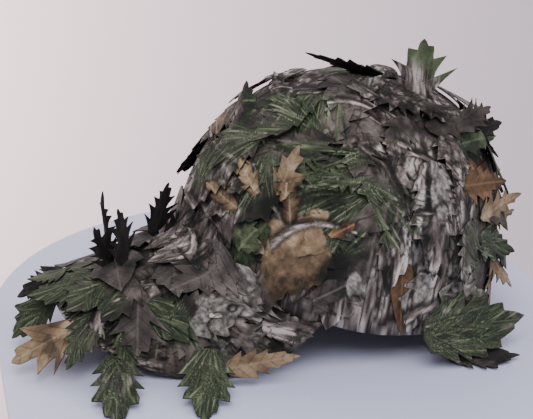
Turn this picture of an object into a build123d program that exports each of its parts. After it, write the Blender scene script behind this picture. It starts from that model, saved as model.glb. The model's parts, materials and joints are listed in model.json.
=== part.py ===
"""Leafy camouflage cap: six-panel crown, curved visor, adjustable strap and cut-leaf cloth flaps."""

import os
from math import atan2, cos, hypot, pi, radians, sin, sqrt

from build123d import *

# Driving dimensions, in millimetres and degrees.
# The rim frame has u forward, v to the wearer's left and w up through the crown.
RIM_HALF_LENGTH = 100.0
RIM_HALF_WIDTH = 84.0
CROWN_HEIGHT = 136.0
CROWN_FULLNESS = 2.4
CROWN_LEAN = 8.0
CLOTH = 0.9
SEAM_GAP = 0.35
STANCE_PITCH = 11.0
STANCE_LIFT = 17.6
STANCE_SHIFT = 36.0

BUCKRAM_DEPTH = 1.3
BUCKRAM_THICKNESS = 0.9
TAPE_DEPTH = 2.7
TAPE_THICKNESS = 0.6
TAPE_WIDTH = 14.0
SWEATBAND_DEPTH = 3.9
SWEATBAND_THICKNESS = 1.4
SWEATBAND_HEIGHT = 30.0

BUTTON_RADIUS = 9.5
BUTTON_HEIGHT = 4.5
SHANK_RADIUS = 1.6

OPENING_HALF_WIDTH = 36.0
OPENING_HEIGHT = 44.0
BINDING_WIDTH = 6.0

STRAP_ARC_CENTRE = -29.4
STRAP_WIDTH = 20.0
STRAP_LOW = 4.0
TAB_RADIUS = 68.6
STRAP_THICKNESS = 1.0
PILE_THICKNESS = 0.9

VISOR_LENGTH = 84.0
VISOR_DROOP = 31.0
VISOR_RADIUS = 78.0
VISOR_TAPER = 0.2
VISOR_BEND = 79.0
BOARD_THICKNESS = 2.2
COVER_THICKNESS = 0.9
BINDING_REACH = 2.2

LEAF_CLOTH = 0.8
LEAF_LAYERS = {1: 1.0, 2: 2.6, 3: 4.2}

pitch = radians(STANCE_PITCH)
droop = radians(VISOR_DROOP)

# Placing planes of the cap.
RIM = Plane(
    origin=(STANCE_SHIFT, 0, STANCE_LIFT),
    x_dir=(-cos(pitch), 0, sin(pitch)),
    z_dir=(sin(pitch), 0, cos(pitch)),
)
REAR = Plane(origin=RIM.origin, x_dir=(0, -1, 0), z_dir=RIM.x_dir)


def place(u, v, w):
    """Point of the rim frame in the cap's own frame."""
    return RIM.from_local_coords(Vector(u, v, w))


def rim_rise(u):
    """Height of the rim line above the rim plane, rising to the visor at the front."""
    return 27.4 * max(0.0, (u + 5) / 105) ** 1.75


def crown_point(azimuth, level, growth=0.0):
    """Point of the crown's outer surface, moved out by growth, at a level from 0 to 1."""
    turn = radians(azimuth)
    waist = max(0.0, 1 - level**CROWN_FULLNESS) ** (1 / CROWN_FULLNESS)
    foot = rim_rise(RIM_HALF_LENGTH * cos(turn))
    u = (RIM_HALF_LENGTH + growth) * waist * cos(turn) - CROWN_LEAN * level
    v = (RIM_HALF_WIDTH + growth) * waist * sin(turn)
    return u, v, foot + (CROWN_HEIGHT + growth - foot) * level


def crown_excess(u, v, w, growth):
    """Negative inside the crown's surface moved out by growth, positive outside."""
    level = max(0.0, w / CROWN_HEIGHT)
    for _ in range(4):
        turn = atan2(v / RIM_HALF_WIDTH, (u + CROWN_LEAN * level) / RIM_HALF_LENGTH)
        foot = rim_rise(RIM_HALF_LENGTH * cos(turn))
        level = max(0.0, (w - foot) / (CROWN_HEIGHT + growth - foot))
    across = (u + CROWN_LEAN * level) / (RIM_HALF_LENGTH + growth)
    waist = hypot(across, v / (RIM_HALF_WIDTH + growth))
    return waist**CROWN_FULLNESS + level**CROWN_FULLNESS - 1


def onto_crown(point, growth):
    """Point where the line from the middle of the head through a point meets the crown."""
    heart = Vector(0, 0, 35)
    ray = point - heart
    near, far = 0.2, 2.5
    for _ in range(40):
        middle = (near + far) / 2
        probe = heart + ray * middle
        if crown_excess(probe.X, probe.Y, probe.Z, growth) < 0:
            near = middle
        else:
            far = middle
    return heart + ray * near


def spread(start, end, count):
    """Evenly spaced values from start to end."""
    return [start + (end - start) * index / (count - 1) for index in range(count)]


def sheet_face(rows):
    """Smooth face through rows of rim-frame points."""
    grid = [[place(*point) for point in row] for row in rows]
    return Face.make_surface_from_array_of_points(grid, tol=0.01, min_deg=3, max_deg=5)


def outward_at(rows):
    """Direction away from the inside of the cap at the middle of a sheet."""
    middle = rows[len(rows) // 2][len(rows[0]) // 2]
    return place(*middle) - place(0, 0, 25)


def level_at(azimuth, rise, growth):
    """Level of the crown at a height above the rim line."""
    foot = rim_rise(RIM_HALF_LENGTH * cos(radians(azimuth)))
    return max(0.0, rise) / (CROWN_HEIGHT + growth - foot)


def crown_rows(start, end, depth, low, top_level, columns=9, rows=11):
    """Grid of points over a stretch of the crown, from a rise above the rim to a level."""
    grid = []
    for azimuth in spread(start, end, columns):
        foot = level_at(azimuth, low, -depth)
        first = foot**1.2
        turns = [sqrt(value) for value in spread(first, top_level**2.4, rows)]
        turns[0] = foot
        grid.append([crown_point(azimuth, turn, -depth) for turn in turns])
    return grid


def save(piece, label):
    """Label a finished piece and write it."""
    piece.label = label
    export_step(piece, f"parts/{label}.step")


os.makedirs("parts", exist_ok=True)

# Six crown panels, each between two seams.
SEAMS = {
    "front_left": (0, 58),
    "side_left": (58, 120),
    "rear_left": (120, 180),
    "rear_right": (180, 240),
    "side_right": (240, 302),
    "front_right": (302, 360),
}
with BuildPart() as rear_cutter:
    with BuildSketch(REAR.offset(-140)):
        with Locations((0, -20)):
            Rectangle(2 * OPENING_HALF_WIDTH, 44, align=(Align.CENTER, Align.MIN))
        with Locations((0, 24)):
            Ellipse(OPENING_HALF_WIDTH, OPENING_HEIGHT - 24)
    extrude(amount=100)

for name, (start, end) in SEAMS.items():
    field = crown_rows(start + SEAM_GAP, end - SEAM_GAP, 0, 0.3, 0.997)
    with BuildPart() as panel:
        thicken(sheet_face(field), amount=-CLOTH, normal_override=outward_at(field))
        if name.startswith("rear"):
            add(rear_cutter.part, mode=Mode.SUBTRACT)
    save(panel.part, f"crown_panel_{name}")

# Stiff buckram behind the two front panels.
for name in ("front_left", "front_right"):
    start, end = SEAMS[name]
    field = crown_rows(start + 1, end - 1, BUCKRAM_DEPTH, 2.5, 0.8)
    with BuildPart() as buckram:
        thicken(
            sheet_face(field),
            amount=-BUCKRAM_THICKNESS,
            normal_override=outward_at(field),
        )
    save(buckram.part, f"buckram_{name}")


def tape_rows(azimuth, low):
    """Narrow strip up a seam, of even width."""
    turn = radians(azimuth)
    field = []
    for across in spread(-TAPE_WIDTH / 2, TAPE_WIDTH / 2, 3):
        column = []
        for level in spread(level_at(azimuth, low, -TAPE_DEPTH) ** 1.5, 0.94, 10):
            u, v, w = crown_point(azimuth, level ** (1 / 1.5), -TAPE_DEPTH)
            beside = Vector(u - across * sin(turn), v + across * cos(turn), w)
            spot = onto_crown(beside, -TAPE_DEPTH)
            column.append((spot.X, spot.Y, spot.Z))
        field.append(column)
    return field


# Tape over each seam, from behind the sweatband to the button.
for index, azimuth in enumerate((0, 58, 120, 180, 240, 302)):
    field = tape_rows(azimuth, OPENING_HEIGHT + 10 if azimuth == 180 else 6)
    with BuildPart() as tape:
        thicken(sheet_face(field), amount=-TAPE_THICKNESS, normal_override=outward_at(field))
    save(tape.part, f"seam_tape_{index + 1}")

# Sweatband round the inside of the rim, open at the rear.
band_rows = []
for azimuth in spread(-128, 128, 39):
    column = []
    for rise in spread(1.5, 1.5 + SWEATBAND_HEIGHT, 5):
        level = level_at(azimuth, rise, -SWEATBAND_DEPTH)
        column.append(crown_point(azimuth, level, -SWEATBAND_DEPTH))
    band_rows.append(column)
with BuildPart() as sweatband:
    band_face = sheet_face(band_rows)
    thicken(band_face, amount=-SWEATBAND_THICKNESS, normal_override=outward_at(band_rows))
save(sweatband.part, "sweatband")

# Covered button on the apex, with its shank and the washer inside.
APEX = Plane(
    origin=place(-CROWN_LEAN, 0, 0),
    x_dir=RIM.x_dir,
    z_dir=RIM.z_dir,
)
with BuildPart() as top_button:
    with BuildSketch(Plane(origin=APEX.origin, x_dir=APEX.x_dir, z_dir=-APEX.y_dir)):
        with BuildLine():
            base = CROWN_HEIGHT + 0.3
            Polyline(
                (0, base + BUTTON_HEIGHT),
                (0, CROWN_HEIGHT - 3.4),
                (SHANK_RADIUS, CROWN_HEIGHT - 3.4),
                (SHANK_RADIUS, base),
                (BUTTON_RADIUS, base),
            )
            Spline(
                (BUTTON_RADIUS, base),
                (BUTTON_RADIUS - 1.6, base + 0.7 * BUTTON_HEIGHT),
                (0, base + BUTTON_HEIGHT),
                tangents=((0.2, 1), (-1, 0)),
            )
        make_face()
    revolve(axis=Axis(APEX.origin, APEX.z_dir))
save(top_button.part, "top_button")

with BuildPart() as button_washer:
    with BuildSketch(APEX.offset(CROWN_HEIGHT - 3.6)):
        Circle(BUTTON_RADIUS)
    extrude(amount=-1.2)
    fillet(button_washer.edges().filter_by(GeomType.CIRCLE), 0.4)
save(button_washer.part, "button_washer")

# Binding round the rear opening, inside the panels and above the strap.
binding_rows = []
for turn in spread(radians(8), radians(172), 17):
    column = []
    for reach in spread(0.5, BINDING_WIDTH, 3):
        side = (OPENING_HALF_WIDTH + reach) * cos(turn)
        rise = 24 + (OPENING_HEIGHT - 24 + reach) * sin(turn)
        spot = onto_crown(Vector(-90, side, rise), -1.3)
        column.append((spot.X, spot.Y, spot.Z))
    binding_rows.append(column)
with BuildPart() as rear_binding:
    thicken(sheet_face(binding_rows), amount=-0.8, normal_override=outward_at(binding_rows))
save(rear_binding.part, "rear_opening_binding")


def on_arc(radius, side):
    """Point of a circle about the strap arc's centre at a sideways reach."""
    return (STRAP_ARC_CENTRE - sqrt(radius**2 - side**2), side)


def strap_arc(label, radius, thickness, first, last, inset=0.0):
    """Upright band on the rear arc, between two sideways reaches, radius at its outer face."""
    sides = (first, (first + last) / 2, last)
    outer = [on_arc(radius, side) for side in sides]
    inner = [on_arc(radius - thickness, side) for side in reversed(sides)]
    with BuildPart() as band:
        with BuildSketch(RIM.offset(STRAP_LOW + inset)):
            with BuildLine():
                ThreePointArc(*outer)
                Line(outer[-1], inner[0])
                ThreePointArc(*inner)
                Line(inner[-1], outer[0])
            make_face()
        extrude(amount=STRAP_WIDTH - 2 * inset)
    save(band.part, label)


# Strap and tab that overlap in the rear opening, with hook and loop pile between them.
hook_radius = TAB_RADIUS - STRAP_THICKNESS
loop_radius = hook_radius - PILE_THICKNESS - 0.3
strap_arc("hook_tab", TAB_RADIUS, STRAP_THICKNESS, -54, 24)
strap_arc("hook_pile", hook_radius, PILE_THICKNESS, -14, 22, 1.5)
strap_arc("loop_pile", loop_radius, PILE_THICKNESS, -26, 34, 1.5)
strap_arc("loop_strap", loop_radius - PILE_THICKNESS, STRAP_THICKNESS, -30, 50)


def visor_point(reach, bend, growth=0.0):
    """Point of the visor's top, moved out by growth, at a reach from its root."""
    radius = VISOR_RADIUS - VISOR_TAPER * reach
    angle = radians(bend)
    drop = radius - (radius + growth) * cos(angle)
    u = RIM_HALF_LENGTH + reach * cos(droop) - drop * sin(droop)
    w = 27.4 - reach * sin(droop) - drop * cos(droop)
    return u, (radius + growth) * sin(angle), w


RULING = RIM.x_dir * cos(droop) - RIM.z_dir * sin(droop)
VISOR = Plane(origin=place(RIM_HALF_LENGTH, 0, 27.4), x_dir=(0, -1, 0), z_dir=RULING)
VISOR_SIDE = Plane(origin=VISOR.origin, x_dir=RULING, z_dir=(0, 1, 0))


def visor_band(outer, inner):
    """Bent sheet that narrows towards the front, between two growths of its top."""
    with BuildPart() as band:
        for reach in (-60.0, 110.0):
            radius = VISOR_RADIUS - VISOR_TAPER * reach
            with BuildSketch(VISOR.offset(reach)):
                with Locations((0, -radius)):
                    Circle(radius + outer)
                    Circle(radius + inner, mode=Mode.SUBTRACT)
                with Locations((0, -radius - 5)):
                    Rectangle(400, 200, align=(Align.CENTER, Align.MAX), mode=Mode.SUBTRACT)
        loft(ruled=True)
    return band.part


def visor_prism(inset):
    """Prism across the visor from its side outline, pulled in by inset."""
    edge = [(84, 3), (77.8, -13), (59.6, -35.5), (34, -54.5), (4, -63.5), (-25, -62.5), (-50, -53)]
    pulled = []
    for before, (ahead, down), after in zip(edge[:1] + edge, edge, edge[1:] + edge[-1:]):
        run = (Vector(*after) - Vector(*before)).normalized()
        pulled.append((ahead + run.Y * inset, down - run.X * inset))
    with BuildPart() as prism:
        with BuildSketch(VISOR_SIDE.offset(-120)):
            with BuildLine():
                Polyline(pulled[-1], (-55, 40), (pulled[0][0], 40), pulled[0])
                Spline(*pulled, tangents=((0, -1), (-1, 0.5)))
            make_face()
        extrude(amount=240)
    return prism.part


with BuildPart() as crown_core:
    with BuildSketch(RIM.offset(-80)):
        Ellipse(RIM_HALF_LENGTH + 0.4, RIM_HALF_WIDTH + 0.4)
    extrude(amount=200)

# Visor: board between two cloth covers, bound round its outer edge.
gap = 0.2
board_depth = COVER_THICKNESS + gap
under_depth = board_depth + BOARD_THICKNESS + gap
sheet_prism = visor_prism(BINDING_REACH + gap)
for name, depth, thickness in (
    ("visor_top_cover", 0.0, COVER_THICKNESS),
    ("visor_board", board_depth, BOARD_THICKNESS),
    ("visor_under_cover", under_depth, COVER_THICKNESS),
):
    with BuildPart() as sheet:
        add(visor_band(-depth, -depth - thickness))
        add(sheet_prism, mode=Mode.INTERSECT)
        add(crown_core.part, mode=Mode.SUBTRACT)
    save(sheet.part, name)

with BuildPart() as visor_binding:
    add(visor_band(0.0, -under_depth - COVER_THICKNESS))
    add(visor_prism(0), mode=Mode.INTERSECT)
    add(visor_prism(BINDING_REACH), mode=Mode.SUBTRACT)
    add(crown_core.part, mode=Mode.SUBTRACT)
save(visor_binding.part, "visor_edge_binding")


# Cut-leaf cloth flaps: each leaf is a rounded blade, widest below its middle.
def blade(length, width, rows=7):
    """Offsets of a leaf's rows: distance along it and half its width there."""
    shares = spread(0.0, 1.0, rows)
    return [(length * (s - 0.5), width / 2 * (0.3 + 0.7 * sin(pi * s**0.85))) for s in shares]


def crown_leaf(label, azimuth, height, turn, length, width, layer):
    """Leaf that hugs the crown, its tip turned towards the rear by turn from upright."""
    side = 1 if azimuth % 360 < 180 else -1
    growth = LEAF_LAYERS[layer]
    centre = Vector(*crown_point(azimuth, height / CROWN_HEIGHT, growth))
    beside = Vector(*crown_point(azimuth + side, height / CROWN_HEIGHT, growth))
    above = Vector(*crown_point(azimuth, height / CROWN_HEIGHT + 0.01, growth))
    rearward = (beside - centre).normalized()
    upward = (above - centre - rearward * (above - centre).dot(rearward)).normalized()
    swing = radians(turn)
    along = upward * cos(swing) + rearward * sin(swing)
    across = rearward * cos(swing) - upward * sin(swing)
    rows = []
    for run, half in blade(length, width):
        row = []
        for offset_across in spread(-half, half, 5):
            spot = onto_crown(centre + along * run + across * offset_across, growth)
            row.append((spot.X, spot.Y, spot.Z))
        rows.append(row)
    with BuildPart() as leaf:
        thicken(sheet_face(rows), amount=LEAF_CLOTH, normal_override=outward_at(rows))
    save(leaf.part, f"leaf_{label}")


def visor_leaf(label, reach, bend, turn, length, width, layer, curl=0.0):
    """Leaf on the visor, its tip turned sideways by turn from straight ahead."""
    swing = radians(turn)
    radius = VISOR_RADIUS - VISOR_TAPER * reach
    rows = []
    for run, half in blade(length, width):
        row = []
        for offset_across in spread(-half, half, 5):
            ahead = run * cos(swing) - offset_across * sin(swing)
            aside = run * sin(swing) + offset_across * cos(swing)
            lift = LEAF_LAYERS[layer] + curl * (0.5 + run / length) ** 2
            row.append(visor_point(reach + ahead, bend + aside / radius * 180 / pi, lift))
        rows.append(row)
    with BuildPart() as leaf:
        thicken(sheet_face(rows), amount=LEAF_CLOTH, normal_override=RIM.z_dir)
    save(leaf.part, f"leaf_{label}")


def free_leaf(label, base, tip, facing, length, width, bow=0.0):
    """Leaf in the cap's own frame that leaves base towards tip, its cloth facing one way."""
    along = (Vector(*tip) - Vector(*base)).normalized()
    outward = (Vector(*facing) - along * along.dot(Vector(*facing))).normalized()
    across = along.cross(outward)
    rows = []
    for run, half in blade(length, width):
        share = run / length + 0.5
        centre = Vector(*base) + along * (share * length) + outward * (bow * share**2)
        rows.append([centre + across * aside for aside in spread(-half, half, 5)])
    face = Face.make_surface_from_array_of_points(rows, tol=0.01, min_deg=3, max_deg=5)
    with BuildPart() as leaf:
        thicken(face, amount=LEAF_CLOTH, normal_override=outward)
    save(leaf.part, f"leaf_{label}")


# Leaves on the wearer's left of the crown, from the front seam to the rear.
crown_leaf("front_bark", 16, 62, -172, 92, 38, 2)
crown_leaf("golden_oak", 61, 34, 170, 52, 36, 1)
crown_leaf("fern_spray", 40, 32, 96, 40, 26, 3)
crown_leaf("oak_high", 47, 78, 6, 32, 22, 3)
crown_leaf("pine_upper", 52, 104, 32, 46, 28, 1)
crown_leaf("pine_mid", 76, 94, 60, 50, 24, 1)
crown_leaf("pine_low", 80, 68, 64, 58, 22, 2)
crown_leaf("top_brown", 60, 124, 30, 50, 28, 3)
crown_leaf("bark_tall", 102, 70, 178, 72, 34, 3)
crown_leaf("rear_green", 128, 109, 92, 44, 20, 2)
crown_leaf("rear_brown", 133, 88, 96, 42, 24, 1)
crown_leaf("rear_tan", 152, 66, 96, 34, 18, 2)
crown_leaf("pale_lichen", 122, 28, 94, 42, 26, 2)
crown_leaf("orange_long", 96, 26, 172, 40, 22, 1)

# Leaves on the wearer's right of the crown.
crown_leaf("far_front", 336, 66, -172, 66, 36, 1)
crown_leaf("far_oak", 296, 40, 168, 50, 34, 1)
crown_leaf("far_bark", 258, 70, 178, 70, 34, 2)
crown_leaf("far_lichen", 230, 34, 94, 44, 28, 1)

# Leaves on the visor.
visor_leaf("smooth_dark", 42, 14, 82, 50, 34, 1)
visor_leaf("folded_grey", 14, 30, 78, 38, 28, 1)
visor_leaf("lichen_patch", 6, 52, 174, 44, 32, 2)
visor_leaf("grey_serrated", 46, 50, 66, 36, 30, 2)
visor_leaf("striped_edge", 69, 42, 62, 30, 20, 1)
visor_leaf("needles_front", 76, 10, -8, 48, 42, 2)
visor_leaf("far_visor", 40, -38, -74, 48, 36, 1)

# Leaves that stand up from the cap or hang from its edges.
free_leaf("upright_long", (-99, -6, 52), (-98, -6, 96), (-0.3, -1, 0.3), 44, 13)
free_leaf("tall_upright", (83, -30, 146), (84, -30, 182), (0, -1, 0), 36, 26)
free_leaf("oak_drooping", (-138, -22, 32), (-160, -16, 6), (-1, -0.4, 0.8), 34, 30)
free_leaf("hanging_olive", (-104, -66, 7), (-111, -98, 1.4), (0, -0.2, 1), 34, 26)
free_leaf("hanging_needles", (-59, -79, 7), (-66, -112, 1.4), (0, -0.2, 1), 34, 30)
free_leaf("under_brim", (-50, -85, 12), (-6, -91, 18), (0, -1, 0.2), 44, 18)
free_leaf("rear_fern", (62, -96, 21), (140, -75, 16), (0.2, -1, 0.5), 78, 28)
free_leaf("rear_dark", (82, -82, 1.6), (120, -98, 1.6), (0, 0, 1), 42, 24)
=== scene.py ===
import json
import math

import bpy
import numpy as np
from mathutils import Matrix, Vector

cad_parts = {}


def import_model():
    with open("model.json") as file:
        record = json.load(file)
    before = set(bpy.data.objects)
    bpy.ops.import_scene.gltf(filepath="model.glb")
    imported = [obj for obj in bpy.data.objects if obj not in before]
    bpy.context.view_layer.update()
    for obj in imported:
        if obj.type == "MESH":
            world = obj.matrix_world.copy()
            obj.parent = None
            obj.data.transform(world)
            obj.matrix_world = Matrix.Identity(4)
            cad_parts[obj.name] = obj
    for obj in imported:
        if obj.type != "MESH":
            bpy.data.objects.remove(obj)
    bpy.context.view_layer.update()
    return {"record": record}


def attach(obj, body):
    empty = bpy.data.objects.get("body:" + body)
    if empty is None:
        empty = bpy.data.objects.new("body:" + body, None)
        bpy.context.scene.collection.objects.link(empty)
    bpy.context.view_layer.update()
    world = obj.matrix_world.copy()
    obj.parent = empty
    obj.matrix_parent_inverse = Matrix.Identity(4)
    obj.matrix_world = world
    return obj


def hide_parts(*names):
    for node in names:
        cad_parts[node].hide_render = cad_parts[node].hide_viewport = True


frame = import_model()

# Leafy camouflage cap. Lengths inside the helpers are millimetres, meshes are metres.
STEP = 0.7  # spacing of the cloth grids
MM = 0.001

# ---- cap frame
opening = next(m for m in frame["record"]["mounts"] if m["name"] == "head_opening")
RIM_AT = np.array(opening["pos_m"]) / MM
UP = -np.array(opening["axis"], float)
UP /= np.linalg.norm(UP)
AHEAD = np.array([-UP[2], 0.0, UP[0]])
LEFT = np.array([0.0, -1.0, 0.0])
HALF_LENGTH, HALF_WIDTH, HEIGHT, FULLNESS, LEAN = 100.0, 84.0, 136.0, 2.4, 8.0
MEAN_RADIUS = 92.0  # of the rim
ARCH = 27.4  # how far the visor's middle stands above the rim's sides
DROOP = math.radians(31.0)
VISOR_RADIUS, VISOR_TAPER, VISOR_CORE = 78.0, 0.2, -60.0
ARC_RADIUS = 72.0  # of the visor's bend, along its stitches
OPENING_HALF, OPENING_ARCH, OPENING_FOOT = 36.0, 20.0, 24.0  # rear opening
HEART = np.array([0.0, 0.0, 35.0])  # middle of the head


def world(p):
    """Rim-frame points (forward, left, up) in the cap's own frame."""
    p = np.asarray(p, float)
    return RIM_AT + p[..., :1] * AHEAD + p[..., 1:2] * LEFT + p[..., 2:3] * UP


def rise(u):
    """Height of the crown's foot, which arches up over the visor."""
    return ARCH * np.maximum(0.0, (u + 5) / 105) ** 1.75


def crown(azimuth, level, growth=0.0):
    """Points of the crown's outer surface; a level below 0 hangs under the rim."""
    turn = np.radians(azimuth)
    waist = np.maximum(0.0, 1 - np.maximum(level, 0) ** FULLNESS) ** (1 / FULLNESS)
    foot = rise(HALF_LENGTH * np.cos(turn))
    u = (HALF_LENGTH + growth) * waist * np.cos(turn) - LEAN * np.maximum(level, 0)
    v = (HALF_WIDTH + growth) * waist * np.sin(turn)
    w = foot + (HEIGHT + growth - foot) * level
    return np.stack(np.broadcast_arrays(u, v, w), -1)


def locate(p, growth=0.0, top=np.inf):
    """Turn and level of points on a crown that is grown by growth."""
    level = np.clip(p[..., 2] / HEIGHT, 0, top)
    for _ in range(3):
        turn = np.arctan2(p[..., 1] / HALF_WIDTH, (p[..., 0] + LEAN * level) / HALF_LENGTH)
        foot = rise(HALF_LENGTH * np.cos(turn))
        level = np.clip((p[..., 2] - foot) / (HEIGHT + growth - foot), 0, top)
    return turn, level


def onto_crown(p, growth):
    """Where lines from the middle of the head through points p meet the grown crown."""
    ray = p - HEART
    near = np.full(p.shape[:-1], 0.2)
    far = np.full(p.shape[:-1], 2.6)
    for _ in range(26):
        mid = (near + far) / 2
        q = HEART + ray * mid[..., None]
        _, level = locate(q, growth)
        ahead = (q[..., 0] + LEAN * level) / (HALF_LENGTH + growth)
        waist = np.hypot(ahead, q[..., 1] / (HALF_WIDTH + growth))
        inside = waist**FULLNESS + level**FULLNESS < 1
        near = np.where(inside, mid, near)
        far = np.where(inside, far, mid)
    return HEART + ray * near[..., None]


def visor_radius(reach):
    return VISOR_RADIUS - VISOR_TAPER * reach


def visor(reach, bend, growth=0.0):
    """Points of the visor's top at a reach from its root and a bend from its middle."""
    radius = visor_radius(reach)
    angle = np.radians(bend)
    drop = radius - (radius + growth) * np.cos(angle)
    u = HALF_LENGTH + reach * math.cos(DROOP) - drop * math.sin(DROOP)
    w = ARCH - reach * math.sin(DROOP) - drop * math.cos(DROOP)
    return np.stack(np.broadcast_arrays(u, (radius + growth) * np.sin(angle), w), -1)


def smooth(low, high, x):
    """Smooth step from 0 at low to 1 at high."""
    t = np.clip((x - low) / (high - low), 0, 1)
    return t * t * (3 - 2 * t)


# ---- print
TABLES = {}
CELLS = 41  # of a noise table along each direction


def mix(u, v, t):
    return u * (1 - t) + v * t


def noise(x, y, z, seed):
    """Smooth value noise in three directions, 0 to 1."""
    seed = seed % 24
    if seed not in TABLES:
        TABLES[seed] = np.random.default_rng(900 + seed).random((CELLS,) * 3).astype(np.float32)
    table = TABLES[seed]
    cells, parts = [], []
    for value in np.broadcast_arrays(x, y, z):
        low = np.floor(value)
        part = value - low
        parts.append(part * part * (3 - 2 * part))
        low = low.astype(np.int64) % CELLS
        cells.append((low, (low + 1) % CELLS))
    (a, b), (c, d), (e, f) = cells
    p, q, r = parts
    near = mix(mix(table[a, c, e], table[b, c, e], p), mix(table[a, d, e], table[b, d, e], p), q)
    far = mix(mix(table[a, c, f], table[b, c, f], p), mix(table[a, d, f], table[b, d, f], p), q)
    return mix(near, far, r)


def fbm(p, size, seed, octaves=4):
    """Layered noise; size is that of its largest features, or one for each direction."""
    x, y, z = (p[..., k] / s for k, s in enumerate(np.broadcast_to(size, 3)))
    total, weight, scale, top = 0.0, 1.0, 1.0, 0.0
    for k in range(octaves):
        total = total + weight * noise(x * scale + 13.7 * k, y * scale + 7.1 * k, z * scale, seed + k)
        top += weight
        weight, scale = weight * 0.6, scale * 2.03
    return 0.5 + (total / top - 0.5) * 1.45  # stretched to most of 0 to 1


def ramp(t, stops):
    """Colours at t between the stops of a palette."""
    at = [s[0] for s in stops]
    return np.stack([np.interp(t, at, [s[1][c] for s in stops]) for c in range(3)], -1)


def tint(rgb, colour, mask):
    """Colours moved towards another where the mask is 1."""
    return rgb + (np.asarray(colour) - rgb) * mask[..., None]


BARK = [(0.15, (0.006, 0.005, 0.004)), (0.36, (0.026, 0.02, 0.018)), (0.5, (0.08, 0.066, 0.059)),
        (0.64, (0.195, 0.168, 0.155)), (0.82, (0.54, 0.495, 0.47))]
GROUND = [(0.2, (0.005, 0.004, 0.004)), (0.42, (0.022, 0.018, 0.016)), (0.58, (0.064, 0.053, 0.046)),
          (0.8, (0.15, 0.128, 0.112))]
GREEN = [(0.15, (0.004, 0.008, 0.004)), (0.45, (0.027, 0.041, 0.02)), (0.7, (0.076, 0.101, 0.052)),
         (0.95, (0.23, 0.26, 0.17))]
TAN = [(0.15, (0.028, 0.018, 0.01)), (0.45, (0.13, 0.088, 0.05)), (0.7, (0.265, 0.19, 0.115)),
       (0.95, (0.45, 0.36, 0.25))]
RUST = [(0.15, (0.03, 0.012, 0.006)), (0.5, (0.12, 0.066, 0.034)), (0.9, (0.3, 0.18, 0.095))]
GREY = [(0.15, (0.014, 0.012, 0.011)), (0.5, (0.062, 0.053, 0.049)), (0.85, (0.17, 0.15, 0.14))]
LICHEN = [(0.1, (0.045, 0.042, 0.037)), (0.45, (0.17, 0.16, 0.146)), (0.9, (0.46, 0.445, 0.42))]
PALETTES = {"tan": TAN, "green": GREEN, "grey": GREY, "rust": RUST}
SHADOW = (0.004, 0.0035, 0.003)  # dark surround of the printed motifs


def bark(p, seed, tone=0.0):
    """Upright ridged bark with dark cracks."""
    warp = 5 * (fbm(p, (18, 18, 26), seed + 2, 2) - 0.5)
    q = p + warp[..., None] * np.array([1.0, 1.0, 0.0])
    fine = fbm(q, (3.6, 3.6, 21), seed, 4)
    crack = np.abs(fbm(q, (7.0, 7.0, 36), seed + 7, 3) - 0.5) * 2
    small = np.abs(fbm(q, (5.0, 5.0, 10), seed + 9, 2) - 0.5) * 2
    colour = ramp(fine * 0.85 + fbm(p, (26, 26, 40), seed + 3, 2) * 0.2 + tone, BARK)
    return colour * (0.1 + 0.9 * smooth(0.02, 0.2, crack) * smooth(0.0, 0.1, small))[..., None]


def ground(p, seed):
    """Blurred forest floor, with fine dark stems over it."""
    soft = fbm(p, (17, 17, 20), seed, 3)
    fine = fbm(p, (3.4, 3.4, 4.6), seed + 11, 3)
    colour = ramp(soft * 0.7 + fine * 0.34, GROUND)
    stem = np.abs(fbm(p, (16, 16, 30), seed + 5, 3) - 0.5)
    return colour * (0.25 + 0.75 * smooth(0.004, 0.022, stem))[..., None]


def lichen(p, rgb, seed, amount=1.0):
    """Pale veined patches."""
    patch = smooth(0.5, 0.58, fbm(p, 15, seed, 3))
    grain = fbm(p, 2.4, seed + 4, 3)
    vein = smooth(0.0, 0.09, np.abs(fbm(p, 13, seed + 6, 3) - 0.5))
    colour = ramp(grain * 0.85, LICHEN) * (0.12 + 0.88 * vein)[..., None]
    return tint(rgb, colour, patch * amount)


def needles(a, b, rgb, length, width, seed, tone):
    """Spray of pine needles from a root at the low end."""
    flat = np.zeros_like(a)
    for k, swing in enumerate((-0.16, 0.0, 0.17)):
        u = a * math.cos(swing) + b * math.sin(swing) + length * 0.62
        v = b * math.cos(swing) - a * math.sin(swing)
        radius = np.hypot(u, v)
        angle = np.arctan2(v, u)
        spread = max(0.3, math.atan2(width * 0.5, length * 0.62))
        reach = length * (0.8 + 0.5 * noise(angle * 17, flat, flat, seed + 1 + k))
        field = smooth(spread * 1.15, spread * 0.7, np.abs(angle))
        field = field * smooth(1.03, 0.95, radius / reach)
        if k == 0:
            rgb = tint(rgb, (0.012, 0.019, 0.01), field * 0.45)
        pitch = length * 0.95
        strand = noise(angle * pitch + k * 3.3, radius / 60, flat, seed + 5 + k)
        light = noise(angle * pitch + 2, radius / 14, flat, seed + 9 + k)
        mask = field * smooth(0.6, 0.72, strand) * smooth(0.0, 8.0, radius)
        rgb = tint(rgb, ramp(light * 0.95 + tone, GREEN), mask * 0.95)
    return rgb


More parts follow.
